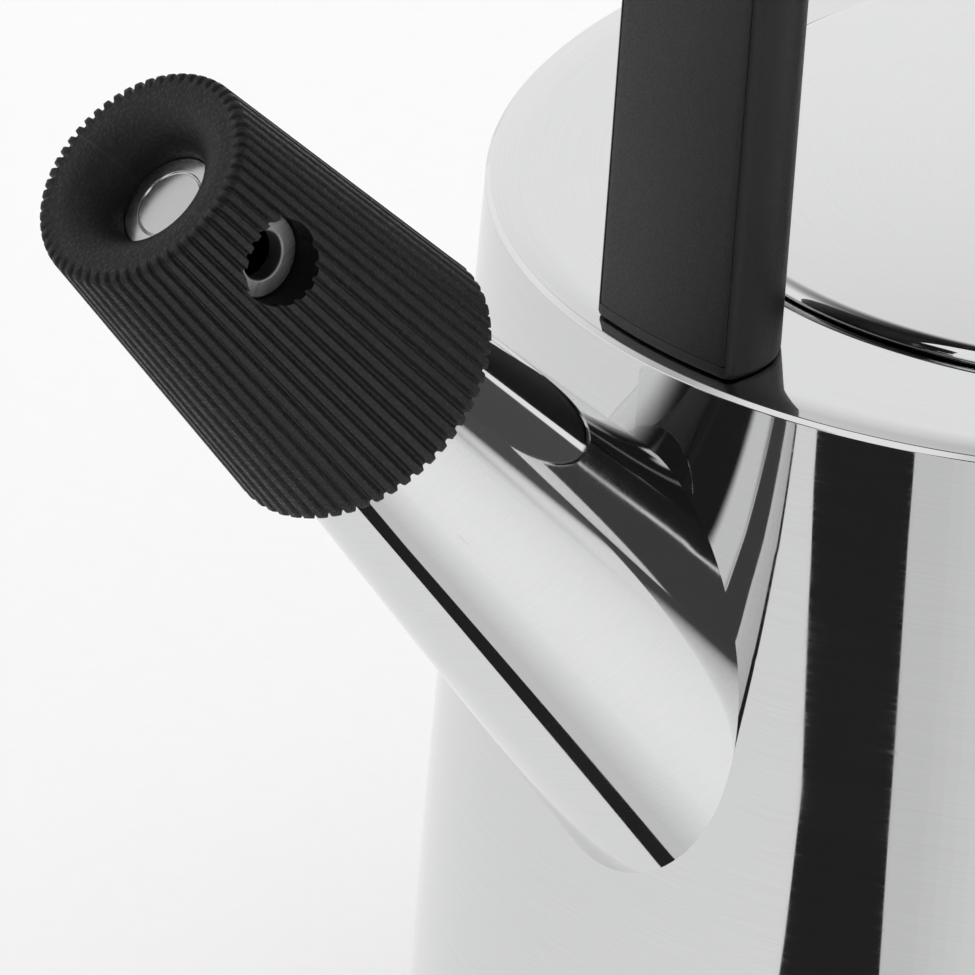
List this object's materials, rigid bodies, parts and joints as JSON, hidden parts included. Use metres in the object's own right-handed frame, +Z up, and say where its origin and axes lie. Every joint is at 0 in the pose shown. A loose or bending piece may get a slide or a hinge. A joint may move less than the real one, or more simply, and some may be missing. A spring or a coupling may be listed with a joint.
{
  "type": "stovetop whistling kettle",
  "caption": "Tapered polished steel stovetop kettle with a flat shoulder, lift-off lid, straight spout, ribbed pull-off whistle cap and a fixed arched black handle.",
  "frame": {"origin": "centre of the flat base, on the surface the kettle stands on", "axes": "+Z up along the kettle's axis, +X towards the spout, +Y to the left of the spout"},
  "size_m": [0.231, 0.1694, 0.212],
  "materials": {
    "polished_steel": "mirror-polished stainless steel",
    "satin_steel": "satin stainless steel",
    "aluminium_core": "plain",
    "black_plastic": "fine-grained heat-proof plastic",
    "cap_plastic": "ribbed, spark-grained heat-proof plastic",
    "silicone": "matt silicone",
    "brass_insert": "turned"
  },
  "bodies": {
    "kettle": {"body_shell": "polished_steel", "top_plate": "polished_steel", "vessel_bottom": "polished_steel", "base_core": "aluminium_core", "base_cap": "satin_steel", "spout": "polished_steel", "front_bracket": "satin_steel", "rear_bracket": "satin_steel", "handle_core": "satin_steel", "handle_grip": "black_plastic", "handle_cover": "black_plastic", "handle_screws": "satin_steel"},
    "lid": {"lid_plate": "polished_steel", "lid_skirt": "polished_steel", "lid_seal": "silicone", "knob": "black_plastic", "knob_ferrule": "polished_steel", "knob_insert": "brass_insert", "knob_disc": "polished_steel", "knob_screw": "satin_steel", "knob_washer": "satin_steel"},
    "cap_ring": {"cap_seal": "silicone"},
    "cap": {"cap_shell": "cap_plastic", "whistle_body": "satin_steel", "whistle_plate_inner": "satin_steel", "whistle_plate_outer": "satin_steel", "whistle_eyelet": "satin_steel", "cap_disc": "polished_steel"}
  },
  "joints": [
    {"name": "lid_lift", "type": "slide", "parent": "kettle", "child": "lid", "axis": [0, 0, 1], "range_m": [0, 0.045]},
    {"name": "cap_pull", "type": "slide", "parent": "kettle", "child": "cap_ring", "axis": [0.6691, 0, 0.7431], "range_m": [0, 0.03]},
    {"name": "cap_turn", "type": "hinge", "parent": "cap_ring", "child": "cap", "pos_m": [0.11515, 0, 0.13379], "axis": [0.6691, 0, 0.7431], "continuous": true}
  ]
}
